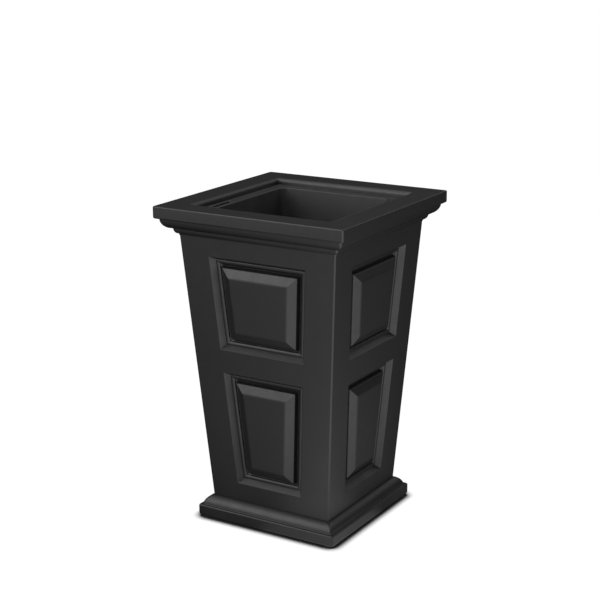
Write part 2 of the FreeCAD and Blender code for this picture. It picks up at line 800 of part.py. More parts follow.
def make_liner():
    """Lift-out tub: tapered, round-cornered, hung by a flange with two finger slots, with a drained floor."""
    body = new_body("planting_liner")
    low, high = "size.liner_bottom", "size.ledge_top"
    floor, top = "size.liner_floor_top", "size.flange_top"
    frustum(body, "Additive", "tub", low, liner_half(low), high, liner_half(high))
    flange_plan = level_sketch(body, "flange_plan", high)
    draw_outline(flange_plan, *rounded_rectangle(("0", "0"), ("size.flange_half", "size.flange_half"),
                                                 "size.flange_corner_round"))
    doc.recompute()
    extrude(body, "Pad", "flange", flange_plan, "size.flange_thickness")

    def inside(level):
        return f"({liner_half(level)} - size.liner_wall)"

    hollow = frustum(body, "Subtractive", "tub_hollow", floor, inside(floor), top, inside(top))
    inner_round = "size.liner_corner_round - size.liner_wall"
    hollow = round_edges(body, "hollow_corners", hollow, inner_round, corner_edge(floor, top))
    tub = round_edges(body, "tub_corners", hollow, "size.liner_corner_round", corner_edge(low, high))
    floor_edges = (lambda edge: all_ends(edge, lambda point: abs(point.z - number(low)) < SAME_PLACE))
    round_edges(body, "tub_foot", tub, "size.liner_foot_round", floor_edges)
    for side, turn in (("left", -1), ("right", 1)):
        sketch = level_sketch(body, f"{side}_slot_plan", top)
        middle = (f"{turn} * size.slot_middle", f"{turn} * size.slot_offset")
        halves = ("size.slot_width / 2", "size.slot_length / 2")
        draw_outline(sketch, *rounded_rectangle(middle, halves, "size.slot_round"))
        doc.recompute()
        extrude(body, "Pocket", f"{side}_slot", sketch, "size.flange_thickness")
    steps = (-1, 0, 1)
    drains = [(f"{column} * size.liner_drain_pitch", f"{row} * size.liner_drain_pitch")
              for column in steps for row in steps]
    drill(body, "drains", drains, "size.liner_drain_radius", floor, "size.liner_floor")
    return body


def make_grid():
    """Loose perforated platform that stands on four legs on the liner's floor."""
    body = new_body("drain_grid")
    plan = level_sketch(body, "plate_plan", "size.grid_bottom")
    corner_round = "(size.liner_corner_round - size.liner_wall)"
    draw_outline(plan, *rounded_rectangle(("0", "0"), ("size.grid_half", "size.grid_half"), corner_round))
    doc.recompute()
    extrude(body, "Pad", "plate", plan, "size.grid_thickness")
    legs = level_sketch(body, "leg_plan", "size.grid_bottom")
    draw_circles(legs, square_corners("size.grid_leg_offset"), "size.grid_leg_radius")
    doc.recompute()
    extrude(body, "Pad", "legs", legs, "size.grid_leg_height", reversed_way=True)
    steps = (-2, -1, 0, 1, 2)
    holes = [(f"{column} * size.grid_hole_pitch", f"{row} * size.grid_hole_pitch")
             for column in steps for row in steps]
    plate_top = "size.grid_bottom + size.grid_thickness"
    drill(body, "holes", holes, "size.grid_hole_radius", plate_top, "size.grid_thickness")
    return body


def check_and_export(bodies):
    """Stop on any failed feature or bad solid, then write one file for each piece."""
    doc.recompute()
    for item in doc.Objects:
        if "Invalid" in item.State or "Error" in item.State:
            raise RuntimeError(f"{item.Label} failed: {item.State}")
    for body in bodies:
        if body.Shape.isNull() or not body.Shape.isValid():
            raise RuntimeError(f"{body.Label} has no valid solid")
    os.makedirs("parts", exist_ok=True)
    for body in bodies:
        body.Shape.exportStep(f"parts/{body.Label}.step")
        print(f"{body.Label}: {len(body.Shape.Solids)} solids, {body.Shape.Volume / 1000:.1f} cm3")


fill_sheet()
check_and_export([
    make_crown(),
    make_shell(),
    make_plinth(),
    make_feet(),
    make_crown_screws(),
    make_plinth_screws(),
    make_pan(),
    make_plug(),
    make_seal(),
    make_liner(),
    make_grid(),
])
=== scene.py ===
import math

import bmesh
import bpy
from mathutils import Euler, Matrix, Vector


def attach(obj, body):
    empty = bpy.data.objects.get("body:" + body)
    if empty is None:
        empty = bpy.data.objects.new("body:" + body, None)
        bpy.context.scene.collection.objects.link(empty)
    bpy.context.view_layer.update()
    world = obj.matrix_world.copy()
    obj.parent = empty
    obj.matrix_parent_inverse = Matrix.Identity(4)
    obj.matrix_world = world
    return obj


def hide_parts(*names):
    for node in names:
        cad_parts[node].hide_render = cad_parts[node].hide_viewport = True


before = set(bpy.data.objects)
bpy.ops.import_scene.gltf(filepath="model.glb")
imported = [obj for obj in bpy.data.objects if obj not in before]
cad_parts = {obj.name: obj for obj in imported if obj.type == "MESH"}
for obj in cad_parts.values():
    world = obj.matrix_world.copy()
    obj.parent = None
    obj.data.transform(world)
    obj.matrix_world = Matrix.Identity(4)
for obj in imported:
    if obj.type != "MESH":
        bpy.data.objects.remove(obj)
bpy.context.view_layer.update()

# Looks of the tall square planter, in metres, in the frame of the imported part.
# The front face looks along -Y and the right-hand face along +X.

# Crown, from the rim down and in to the wall
RIM_TOP = 0.610
RIM_HALF = 0.1985
MOUTH_HALF = 0.1465
MOUTH_ROUND = 0.008
LEDGE_HALF = 0.1265
LEDGE_TOP = 0.593
LEDGE_BOTTOM = 0.585
FASCIA_BOTTOM = 0.587
UPPER_OVOLO_OUT = 0.1905
UPPER_OVOLO_IN = 0.1805
UPPER_OVOLO_BOTTOM = 0.569
UPPER_OVOLO_BULGE = 0.003
LOWER_OVOLO_OUT = 0.173
LOWER_OVOLO_IN = 0.1692
LOWER_OVOLO_BOTTOM = 0.558
LOWER_OVOLO_BULGE = 0.0015
COVE_OUT = 0.1672
COVE_LIP = 0.0008
COVE_BULGE = 0.0005
CROWN_BOTTOM = 0.5545

# Shell
BODY_TOP_HALF = 0.1643
BODY_BOTTOM_HALF = 0.1271
SHELL_WALL = 0.0045
SHELL_FLANGE = 0.005
SHELL_BOTTOM = 0.008
SHELL_FIT = 0.0003
SHELL_CORNER = 0.003

# Raised panels: outlines measured up the leaning face, and the moulding from its outline inwards
STILE = 0.0595
PANEL_LIP = 0.0005
LOWER_PANEL = (0.0365, 0.25947)
UPPER_PANEL = (0.30317, 0.48194)
SLOPE_END = (0.0078, 0.0108)
BEAD_END = (0.0156, 0.0145)
BEAD_BULGE = 0.0021
GROOVE_START = (0.018, 0.0165)
GROOVE_END = (0.019, 0.0165)
BEVEL_FOOT = (0.0215, 0.008)
KNEE_ROUND = 0.003
FIELD_EDGE = 0.0375
FIELD_ROUND = 0.012
BACKING_DEPTH = 0.0135

# Plinth
BASE_HALF = 0.149
BLOCK_BOTTOM = 0.002
BLOCK_TOP = 0.024
BASE_OVOLO_OUT = 0.1433
BASE_OVOLO_IN = 0.1281
BASE_OVOLO_BULGE = 0.0032
PLINTH_TOP = 0.0405
OPENING_HALF = 0.10661
FOOT_REACH = 0.1345
FOOT_RECESS_RADIUS = 0.0112
FOOT_RECESS_TOP = 0.006

# Liner
FLANGE_TOP = 0.598
FLANGE_HALF = 0.145
FLANGE_CORNER = 0.006
LINER_BOTTOM = 0.298
LINER_BOTTOM_HALF = 0.1005
LINER_TOP_HALF = 0.1235
LINER_WALL = 0.0035
LINER_FLOOR = 0.004
FLOOR_EDGE = 0.02
LINER_CORNER = 0.018
LINER_FOOT_ROUND = 0.006
DRAIN_RADIUS = 0.006
DRAIN_PITCH = 0.0505
SLOT_MIDDLE = 0.135
SLOT_OFFSET = 0.07
SLOT_LENGTH = 0.065
SLOT_WIDTH = 0.013
SLOT_CORNER = 0.005
NOTCH_MARGIN = 0.0015

# Screws
SCREW_HOLE = 0.0022
SCREW_SEAT = 0.0042
SCREW_SEAT_DEPTH = 0.0028
CROWN_SCREW = (0.1365, 0.1135)
PLINTH_SCREW = (0.11361, 0.07)

# Softened edges
EDGE_ROUND = 0.003
RIM_ROUND = 0.002
BLOCK_ROUND = 0.005
SMALL_ROUND = 0.0012
TINY_ROUND = 0.0006
PLAN_CORNER = 0.004
ROUND_STEPS = 4
CORNER_STEPS = 5
OVOLO_STEPS = 10
SHARP_ANGLE = math.radians(32)
MOST_ROUND = 0.48
OVERCUT = 0.002

LEAN_SLOPE = (BODY_TOP_HALF - BODY_BOTTOM_HALF) / (CROWN_BOTTOM - PLINTH_TOP)
LEAN = math.atan(LEAN_SLOPE)
LINER_SLOPE = (LINER_TOP_HALF - LINER_BOTTOM_HALF) / (LEDGE_TOP - LINER_BOTTOM)

# Camera fitted to the corners of the planter in the photograph
CAMERA_PLACE = (1.37677, -2.25349, 1.14283)
CAMERA_TURN = math.radians(31.5785)
CAMERA_PITCH = math.radians(15.4124)
CAMERA_ROLL = math.radians(-0.3932)
CAMERA_LENS = 87.439
SENSOR = 36

# Materials: PLASTIC_GLOSS is how strongly plastic and rubber mirror, where 0.5 is plain plastic.
# NOISE_LOW and NOISE_HIGH bound the middle part of a noise texture's values, which is the part that is used.
PLASTIC_GLOSS = 1.0
COOLNESS = 1.04
MOTTLE_SCALE = 14
GLOSS_SCALE = 45
GRAIN_STRENGTH = 0.35
STAIN_SCALE = 300
TURNING_SCALE = 2500
NOISE_LOW, NOISE_HIGH = 0.3, 0.7

# Studio: the floor and the room as the camera sees them, as gloss mirrors them and as they light the planter.
# PAINTED_LIGHT_STOPS are the strengths of a painted light that the floor glows with in gloss only, from 0
# behind the planter to 1 on the side at PAINTED_LIGHT_TURN, and PAINTED_SHADE_REACH is how far from the
# middle they are reached in full; closer in, the glow is cut back as painted shade round the planter.
FLOOR_REACH = 30
FLOOR_GREY = 0.04
FLOOR_GLOW = 1.0
PAINTED_LIGHT_TURN = math.radians(50)
PAINTED_LIGHT_STOPS = ((0.33, 0.0), (0.465, 0.1), (0.535, 0.25), (0.75, 0.27), (0.84, 0.93), (0.9, 1.0))
PAINTED_SHADE_REACH = 0.45
# SHADOW_REACH, SHADOW_FROM and SHADOW_TO shape a painted contact shadow in the floor's glow.
SHADOW_REACH = 0.02
SHADOW_FROM, SHADOW_TO = 0.575, 0.95
ROOM_GREY = 0.45
ROOM_MIRRORED = 0.05
LAMP_TARGET = Vector((0, 0, 0.3))


def wall_half(level):
    """Half width of the shell's outside at a level."""
    return BODY_BOTTOM_HALF + LEAN_SLOPE * (level - PLINTH_TOP)


def liner_half(level):
    """Half width of the liner's outside at a level."""
    return LINER_BOTTOM_HALF + LINER_SLOPE * (level - LINER_BOTTOM)


def bulged(start, finish, bulge):
    """Points of an arc between two points, both left out; a positive bulge goes to the left of the way."""
    first, last = Vector(start), Vector(finish)
    chord = last - first
    radius = chord.length_squared / (8 * abs(bulge)) + abs(bulge) / 2
    side = math.copysign(1, bulge)
    left = Vector((-chord.y, chord.x)).normalized()
    centre = (first + last) / 2 + left * side * (abs(bulge) - radius)
    half_turn = math.asin(chord.length / 2 / radius)
    points = []
    for step in range(1, OVOLO_STEPS):
        turn = half_turn * (2 * step / OVOLO_STEPS - 1)
        outward = left * side * math.cos(turn)
        onward = chord.normalized() * math.sin(turn)
        points.append(centre + radius * (outward + onward))
    return [(point.x, point.y, 0) for point in points]


def softened(corners, closed=True):
    """Round the corners of an outline; each corner is (across, up, radius)."""
    points = []
    last = len(corners) - 1
    for index, (across, up, radius) in enumerate(corners):
        here = Vector((across, up))
        if radius == 0 or (not closed and index in (0, last)):
            points.append(here)
            continue
        to_before = Vector(corners[index - 1][:2]) - here
        to_after = Vector(corners[(index + 1) % len(corners)][:2]) - here
        half_angle = to_before.angle(to_after) / 2
        longest = MOST_ROUND * min(to_before.length, to_after.length)
        reach = min(radius / math.tan(half_angle), longest)
        radius = reach * math.tan(half_angle)
        start = here + to_before.normalized() * reach
        finish = here + to_after.normalized() * reach
        inward = (to_before.normalized() + to_after.normalized()).normalized()
        centre = here + inward * radius / math.sin(half_angle)
        spread = math.pi / 2 - half_angle
        along = (finish - start).normalized()
        for step in range(ROUND_STEPS + 1):
            turn = spread * (2 * step / ROUND_STEPS - 1)
            points.append(centre - inward * radius * math.cos(turn) + along * radius * math.sin(turn))
    return points


def turned(point, quarter):
    """A point turned about the vertical axis by quarter turns."""
    across, back, level = point
    for _ in range(quarter):
        across, back = -back, across
    return across, back, level


def square_loop(mesh, half, level, corner, column):
    """A ring of points round a square with rounded corners; column is where each side is divided."""
    flat = half - corner
    ring = []
    for quarter in range(4):
        for across in (-flat, -column, column, flat):
            ring.append(mesh.verts.new(turned((across, -half, level), quarter)))
        for step in range(1, CORNER_STEPS):
            angle = math.pi / 2 * step / CORNER_STEPS
            place = (flat + corner * math.sin(angle), -flat - corner * math.cos(angle), level)
            ring.append(mesh.verts.new(turned(place, quarter)))
    return ring


def skin(mesh, low, high, open_column=False):
    """Faces between two rings; open_column leaves out the middle of each side and returns those four gaps."""
    count = len(low)
    per_side = count // 4
    gaps = []
    for index in range(count):
        after = (index + 1) % count
        corners = (low[index], low[after], high[after], high[index])
        if open_column and index % per_side == 1:
            gaps.append(corners)
        else:
            mesh.faces.new(corners)
    return gaps


def finished(mesh, name):
    """Turn built faces into an object with smooth shading that keeps its creases."""
    mesh.normal_update()
    for face in mesh.faces:
        face.smooth = True
    for edge in mesh.edges:
        if edge.is_manifold and edge.calc_face_angle() > SHARP_ANGLE:
            edge.smooth = False
    data = bpy.data.meshes.new(name)
    mesh.to_mesh(data)
    mesh.free()
    piece = bpy.data.objects.new(name, data)
    bpy.context.scene.collection.objects.link(piece)
    return piece


def weight_normals(piece):
    """Let the large flat faces set the shading, so that softened edges don't bend it."""
    modifier = piece.modifiers.new("weighted_normals", "WEIGHTED_NORMAL")
    modifier.keep_sharp = True


def square_frame(name, outline, corner):
    """A closed frame: an outline of (reach, level) points carried round a square."""
    mesh = bmesh.new()
    rings = [square_loop(mesh, reach, level, corner, reach / 2) for reach, level in outline]
    for index, ring in enumerate(rings):
        skin(mesh, ring, rings[(index + 1) % len(rings)])
    return finished(mesh, name)


def cutter_from(mesh):
    """A hidden object for cutting, from built faces."""
    bmesh.ops.recalc_face_normals(mesh, faces=mesh.faces)
    return finished(mesh, "cutter")


def add_block(mesh, low, high, corner=0.0):
    """Add an upright block with rounded upright corners to a mesh."""
    middle = [(low[axis] + high[axis]) / 2 for axis in (0, 1)]
    halves = [(high[axis] - low[axis]) / 2 - corner for axis in (0, 1)]
    plan = []
    for quarter, (side_x, side_y) in enumerate(((1, 1), (-1, 1), (-1, -1), (1, -1))):
        for step in range(CORNER_STEPS + 1 if corner else 1):
            angle = math.pi / 2 * (quarter + step / CORNER_STEPS)
            plan.append((middle[0] + side_x * halves[0] + corner * math.cos(angle),
                         middle[1] + side_y * halves[1] + corner * math.sin(angle)))
    add_prism(mesh, plan, low[2], high[2])


def add_rod(mesh, place, radius, low, high, sides=24):
    """Add an upright rod to a mesh."""
    angles = [2 * math.pi * step / sides for step in range(sides)]
    plan = [(place[0] + radius * math.cos(angle), place[1] + radius * math.sin(angle)) for angle in angles]
    add_prism(mesh, plan, low, high)


def add_prism(mesh, plan, low, high):
    """Add an upright prism over a plan to a mesh."""
    bottom = [mesh.verts.new((across, back, low)) for across, back in plan]
    top = [mesh.verts.new((across, back, high)) for across, back in plan]
    mesh.faces.new(bottom[::-1])
    mesh.faces.new(top)
    for index in range(len(plan)):
        after = (index + 1) % len(plan)
        mesh.faces.new((bottom[index], bottom[after], top[after], top[index]))


def cut(piece, mesh):
    """Cut built shapes out of a piece."""
    cutter = cutter_from(mesh)
    modifier = piece.modifiers.new("cut", "BOOLEAN")
    modifier.object = cutter
    modifier.operation = "DIFFERENCE"
    modifier.solver = "EXACT"
    graph = bpy.context.evaluated_depsgraph_get()
    result = bpy.data.meshes.new_from_object(piece.evaluated_get(graph))
    piece.modifiers.remove(modifier)
    piece.data = result
    bpy.data.objects.remove(cutter)


def screw_places(reach, along):
    """Eight places, two on each side of a square."""
    sides = ((reach, along), (reach, -along), (-reach, along), (-reach, -along))
    return list(sides) + [(back, across) for across, back in sides]


def notch_blocks(mesh, low, high):
    """The two finger notches through the ledge and the flange under it."""
    half_length = SLOT_LENGTH / 2 + NOTCH_MARGIN
    far = SLOT_MIDDLE + SLOT_WIDTH / 2 + NOTCH_MARGIN
    near = LEDGE_HALF - OVERCUT
    add_block(mesh, (-far, -SLOT_OFFSET - half_length, low), (-near, -SLOT_OFFSET + half_length, high))
    add_block(mesh, (near, SLOT_OFFSET - half_length, low), (far, SLOT_OFFSET + half_length, high))


def make_crown():
    """Crown with the fascia, two ovolos and a cove outside, the flat rim and the sunk ledge."""
    inner = BODY_TOP_HALF + SHELL_FIT
    lip = inner + COVE_LIP
    corners = [(inner, CROWN_BOTTOM, 0), (lip, CROWN_BOTTOM, 0)]
    corners += bulged((lip, CROWN_BOTTOM), (COVE_OUT, LOWER_OVOLO_BOTTOM), COVE_BULGE)
    corners += [(COVE_OUT, LOWER_OVOLO_BOTTOM, TINY_ROUND), (LOWER_OVOLO_IN, LOWER_OVOLO_BOTTOM, TINY_ROUND)]
    lower = ((LOWER_OVOLO_IN, LOWER_OVOLO_BOTTOM), (LOWER_OVOLO_OUT, UPPER_OVOLO_BOTTOM))
    corners += bulged(*lower, -LOWER_OVOLO_BULGE)
    corners += [(*lower[1], TINY_ROUND), (UPPER_OVOLO_IN, UPPER_OVOLO_BOTTOM, SMALL_ROUND)]
    upper = ((UPPER_OVOLO_IN, UPPER_OVOLO_BOTTOM), (UPPER_OVOLO_OUT, FASCIA_BOTTOM))
    corners += bulged(*upper, -UPPER_OVOLO_BULGE)
    corners += [
        (*upper[1], SMALL_ROUND),
        (RIM_HALF, FASCIA_BOTTOM, EDGE_ROUND),
        (RIM_HALF, RIM_TOP, RIM_ROUND),
        (MOUTH_HALF, RIM_TOP, MOUTH_ROUND),
        (MOUTH_HALF, LEDGE_TOP, SMALL_ROUND),
        (LEDGE_HALF, LEDGE_TOP, SMALL_ROUND),
        (LEDGE_HALF, LEDGE_BOTTOM, 0),
        (wall_half(LEDGE_BOTTOM) + SHELL_FIT, LEDGE_BOTTOM, 0),
    ]
    piece = square_frame("crown", softened(corners), PLAN_CORNER)
    cuts = bmesh.new()
    notch_blocks(cuts, LEDGE_BOTTOM - OVERCUT, LEDGE_TOP + OVERCUT)
    cut(piece, cuts)
    seats, holes = bmesh.new(), bmesh.new()
    for place in screw_places(*CROWN_SCREW):
        add_rod(seats, place, SCREW_SEAT, LEDGE_TOP - SCREW_SEAT_DEPTH, LEDGE_TOP + OVERCUT)
        add_rod(holes, place, SCREW_HOLE, LEDGE_BOTTOM - OVERCUT, LEDGE_TOP)
    cut(piece, seats)
    cut(piece, holes)
    return piece


def panel_profile():
    """The panel's moulding as (inset, depth) points, from the stile to the field."""
    corners = [
        (0, 0, 0),
        (PANEL_LIP, 0, SMALL_ROUND),
        (*SLOPE_END, 0),
        *bulged(SLOPE_END, BEAD_END, -BEAD_BULGE),
        (*BEAD_END, 0),
        (*GROOVE_START, 0),
        (*GROOVE_END, 0),
        (*BEVEL_FOOT, KNEE_ROUND),
        (FIELD_EDGE, 0, FIELD_ROUND),
        (FIELD_EDGE + FIELD_ROUND, 0, 0),
    ]
    return [(point.x, point.y) for point in softened(corners, closed=False)[1:]]


def backing_profile():
    """The bulge behind a panel's moulding, seen from inside, as (inset, depth) points."""
    return [
        (SLOPE_END[0] + SHELL_WALL, BACKING_DEPTH),
        (GROOVE_END[0] + SHELL_WALL, BACKING_DEPTH),
        (BEVEL_FOOT[0] + 2 * SHELL_WALL, BEVEL_FOOT[1]),
        (FIELD_EDGE + 2 * SHELL_WALL, 0),
    ]


def panel_ring(mesh, quarter, half_at, stile, first, second, inset, depth):
    """The four corners of one line of a panel's moulding, set in from its outline and sunk into the wall."""
    rise = math.copysign(inset * math.cos(LEAN), second - first)
    spread = inset * math.hypot(1, math.sin(LEAN))
    ring = []
    for level, sides in ((first + rise, (-1, 1)), (second - rise, (1, -1))):
        for side in sides:
            across = side * (half_at(level) - stile - spread)
            back = -half_at(level) + depth * math.cos(LEAN)
            ring.append(mesh.verts.new(turned((across, back, level + depth * math.sin(LEAN)), quarter)))
    return ring


def fill_panel(mesh, gap, quarter, half_at, stile, levels, profile):
    """Fill a gap in the wall with a moulded panel; its mitres stay crisp."""
    ring = list(gap)
    for inset, depth in profile:
        inner = panel_ring(mesh, quarter, half_at, stile, *levels, inset, depth)
        for index in range(4):
            after = (index + 1) % 4
            mesh.faces.new((ring[index], ring[after], inner[after], inner[index]))
            mesh.edges.get((ring[index], inner[index])).smooth = False
        ring = inner
    mesh.faces.new(ring)


def panel_levels(panel, spread=0.0):
    """Foot and head levels of a panel that is measured up the leaning face."""
    foot, head = panel
    return PLINTH_TOP + (foot - spread) * math.cos(LEAN), PLINTH_TOP + (head + spread) * math.cos(LEAN)


def panelled_wall(mesh, half_at, levels, panels, stile, profile):
    """Rings up or down a leaning wall, with moulded panels between the ring pairs named in panels."""
    rings = []
    for level in levels:
        half = half_at(level)
        rings.append(square_loop(mesh, half, level, SHELL_CORNER, half - stile))
    for index in range(len(rings) - 1):
        is_panel = index in panels
        gaps = skin(mesh, rings[index], rings[index + 1], open_column=is_panel)
        for quarter, gap in enumerate(gaps):
            pair = (levels[index], levels[index + 1])
            fill_panel(mesh, gap, quarter, half_at, stile, pair, profile)
    return rings


def make_shell():
    """Tapered shell: panelled outside, a hollow inside with the panels' backs, flanges at top and bottom."""
    mesh = bmesh.new()
    outer_levels = [SHELL_BOTTOM, *panel_levels(LOWER_PANEL), *panel_levels(UPPER_PANEL), LEDGE_BOTTOM]
    outer = panelled_wall(mesh, wall_half, outer_levels, (1, 3), STILE, panel_profile())

    def inner_half(level):
        return wall_half(level) - SHELL_WALL

    floor, ceiling = SHELL_BOTTOM + SHELL_FLANGE, LEDGE_BOTTOM - SHELL_FLANGE
    backs = [*panel_levels(LOWER_PANEL, SHELL_WALL), *panel_levels(UPPER_PANEL, SHELL_WALL)]
    inner_levels = [floor, *backs, ceiling]
    inner_stile = STILE - 2 * SHELL_WALL
    inner = panelled_wall(mesh, inner_half, inner_levels[::-1], (1, 3), inner_stile, backing_profile())
    flange_rings = []
    for half, levels in ((LEDGE_HALF, (LEDGE_BOTTOM, ceiling)), (OPENING_HALF, (floor, SHELL_BOTTOM))):
        flange_rings.append([square_loop(mesh, half, level, TINY_ROUND, half / 2) for level in levels])
    ends = ((outer[-1], flange_rings[0], inner[0]), (inner[-1], flange_rings[1], outer[0]))
    for before, rings, after in ends:
        skin(mesh, before, rings[0])
        skin(mesh, rings[0], rings[1])
        skin(mesh, rings[1], after)
    piece = finished(mesh, "shell")
    cuts = bmesh.new()
    notch_blocks(cuts, ceiling - OVERCUT, LEDGE_BOTTOM + OVERCUT)
    cut(piece, cuts)
    return piece


def make_plinth():
    """Plinth: a block and a half-round outside, with sockets for the feet and seats for screws below."""
    floor_half = wall_half(SHELL_BOTTOM) + SHELL_FIT
    ovolo = ((BASE_OVOLO_OUT, BLOCK_TOP), (BASE_OVOLO_IN, PLINTH_TOP))
    corners = [
        (OPENING_HALF, BLOCK_BOTTOM, SMALL_ROUND),
        (BASE_HALF, BLOCK_BOTTOM, BLOCK_ROUND),
        (BASE_HALF, BLOCK_TOP, EDGE_ROUND),
        (*ovolo[0], SMALL_ROUND),
    ]
    corners += bulged(*ovolo, -BASE_OVOLO_BULGE)
    corners += [
        (*ovolo[1], SMALL_ROUND),
        (BODY_BOTTOM_HALF + SHELL_FIT, PLINTH_TOP, TINY_ROUND),
        (floor_half, SHELL_BOTTOM, 0),
        (OPENING_HALF, SHELL_BOTTOM, 0),
    ]
    piece = square_frame("plinth", softened(corners), PLAN_CORNER)
    sockets, holes = bmesh.new(), bmesh.new()
    for quarter in range(4):
        place = turned((FOOT_REACH, FOOT_REACH, 0), quarter)
        add_rod(sockets, place, FOOT_RECESS_RADIUS, BLOCK_BOTTOM - OVERCUT, FOOT_RECESS_TOP, sides=40)
    for place in screw_places(*PLINTH_SCREW):
        add_rod(sockets, place, SCREW_SEAT, BLOCK_BOTTOM - OVERCUT, BLOCK_BOTTOM + SCREW_SEAT_DEPTH)
        add_rod(holes, place, SCREW_HOLE, BLOCK_BOTTOM, SHELL_BOTTOM + OVERCUT)
    cut(piece, sockets)
    cut(piece, holes)
    return piece


def make_liner():
    """Lift-out tub with round corners, a slotted hanging flange and a drained floor."""
    floor_top = LINER_BOTTOM + LINER_FLOOR
    inner_corner = LINER_CORNER - LINER_WALL

    def inside(level):
        return liner_half(level) - LINER_WALL

    corners = [
        (inside(floor_top) - FLOOR_EDGE, floor_top, 0),
        (inside(floor_top), floor_top, SMALL_ROUND),
        (inside(FLANGE_TOP), FLANGE_TOP, SMALL_ROUND),
        (FLANGE_HALF, FLANGE_TOP, SMALL_ROUND),
        (FLANGE_HALF, LEDGE_TOP, TINY_ROUND),
        (liner_half(LEDGE_TOP), LEDGE_TOP, TINY_ROUND),
        (LINER_BOTTOM_HALF, LINER_BOTTOM, LINER_FOOT_ROUND),
        (LINER_BOTTOM_HALF - FLOOR_EDGE, LINER_BOTTOM, 0),
    ]
    outline = softened(corners, closed=False)
    mesh = bmesh.new()
    rings = []
    for reach, level in outline:
        on_flange = reach > liner_half(level) + TINY_ROUND
        corner = FLANGE_CORNER if on_flange else inner_corner
        rings.append(square_loop(mesh, reach, level, corner, reach / 2))
    for low, high in zip(rings, rings[1:]):
        skin(mesh, low, high)
    mesh.faces.new(rings[0][::-1])
    mesh.faces.new(rings[-1])
    piece = finished(mesh, "liner")
    slots, drains = bmesh.new(), bmesh.new()
    half_width, half_length = SLOT_WIDTH / 2, SLOT_LENGTH / 2
    for side in (-1, 1):
        across, back = side * SLOT_MIDDLE, side * SLOT_OFFSET
        low = (across - half_width, back - half_length, LEDGE_TOP - OVERCUT)
        high = (across + half_width, back + half_length, FLANGE_TOP + OVERCUT)
        add_block(slots, low, high, SLOT_CORNER)
    for column in (-1, 0, 1):
        for row in (-1, 0, 1):
            place = (column * DRAIN_PITCH, row * DRAIN_PITCH)
            add_rod(drains, place, DRAIN_RADIUS, LINER_BOTTOM - OVERCUT, floor_top + OVERCUT)
    cut(piece, slots)
    cut(piece, drains)
    return piece


def new_material(name):
    """An empty node material with its shader."""
    material = bpy.data.materials.new(name)
    material.use_nodes = True
    return material, material.node_tree, material.node_tree.nodes["Principled BSDF"]


def noise(tree, coordinates, scale, detail=3.0, roughness=0.5):
    """A noise texture in the object's own metres."""
    node = tree.nodes.new("ShaderNodeTexNoise")
    node.inputs["Scale"].default_value = scale
    node.inputs["Detail"].default_value = detail
    node.inputs["Roughness"].default_value = roughness
    tree.links.new(coordinates.outputs["Object"], node.inputs["Vector"])
    return node


def ramp(tree, source, low, high):
    """A ramp between two colours, driven by a noise texture."""
    node = tree.nodes.new("ShaderNodeValToRGB")
    node.color_ramp.elements[0].position = NOISE_LOW
    node.color_ramp.elements[0].color = (*low, 1)
    node.color_ramp.elements[1].position = NOISE_HIGH
    node.color_ramp.elements[1].color = (*high, 1)
    tree.links.new(source.outputs["Fac"], node.inputs["Fac"])
    return node


def spread(tree, source, low, high):
    """A noise texture's value spread between two numbers."""
    node = tree.nodes.new("ShaderNodeMapRange")
    node.inputs["From Min"].default_value = NOISE_LOW
    node.inputs["From Max"].default_value = NOISE_HIGH
    node.inputs["To Min"].default_value = low
    node.inputs["To Max"].default_value = high
    tree.links.new(source.outputs["Fac"], node.inputs["Value"])
    return node


def moulded(name, dark, light, smooth, rough, grain_scale, grain_depth):
    """Moulded plastic or rubber: faint mottling, uneven gloss and a fine raised grain."""
    material, tree, shader = new_material(name)
    coordinates = tree.nodes.new("ShaderNodeTexCoord")
    mottle = noise(tree, coordinates, MOTTLE_SCALE)
    tree.links.new(ramp(tree, mottle, dark, light).outputs["Color"], shader.inputs["Base Color"])
    gloss = noise(tree, coordinates, GLOSS_SCALE)
    tree.links.new(spread(tree, gloss, smooth, rough).outputs["Result"], shader.inputs["Roughness"])
    grain = noise(tree, coordinates, grain_scale, detail=2.0)
    bump = tree.nodes.new("ShaderNodeBump")
    bump.inputs["Strength"].default_value = GRAIN_STRENGTH
    bump.inputs["Distance"].default_value = grain_depth
    tree.links.new(grain.outputs["Fac"], bump.inputs["Height"])
    tree.links.new(bump.outputs["Normal"], shader.inputs["Normal"])
    shader.inputs["Specular IOR Level"].default_value = PLASTIC_GLOSS
    return material


def grey(level):
    """A grey that is very slightly cool."""
    return level, level, level * COOLNESS


def black_resin():
    """Satin black resin of the crown, the shell and the plinth."""
    return moulded("black_resin", grey(0.0075), grey(0.009), 0.42, 0.48, 1100, 0.00012)


def liner_resin():
    """Satin black resin of the liner."""
    return moulded("liner_resin", grey(0.019), grey(0.025), 0.42, 0.52, 900, 0.00015)


def grid_resin():
    """Dull dark grey resin of the drain grid."""
    return moulded("grid_resin", grey(0.055), grey(0.075), 0.5, 0.6, 800, 0.0002)


def pan_resin():
    """Dull black resin of the water pan."""
    return moulded("pan_resin", grey(0.035), grey(0.05), 0.48, 0.58, 800, 0.0002)


def plug_plastic():
    """Smooth dark grey plastic of the drain plug."""
    return moulded("plug_plastic", grey(0.08), grey(0.11), 0.3, 0.4, 1500, 0.00006)


def rubber():
    """Matte black rubber of the feet and the washer."""
    return moulded("rubber", grey(0.012), grey(0.02), 0.7, 0.8, 1300, 0.0002)


def screw_steel():
    """Stainless steel of the screws, with fine turning marks."""
    material, tree, shader = new_material("screw_steel")
    coordinates = tree.nodes.new("ShaderNodeTexCoord")
    shader.inputs["Metallic"].default_value = 1.0
    stain = noise(tree, coordinates, STAIN_SCALE)
    tree.links.new(ramp(tree, stain, grey(0.42), grey(0.58)).outputs["Color"], shader.inputs["Base Color"])
    marks = noise(tree, coordinates, TURNING_SCALE)
    tree.links.new(spread(tree, marks, 0.22, 0.42).outputs["Result"], shader.inputs["Roughness"])
    return material


def dress(piece, material):
    """Give a piece its one material."""
    piece.data.materials.clear()
    piece.data.materials.append(material)
    for face in piece.data.polygons:
        face.material_index = 0


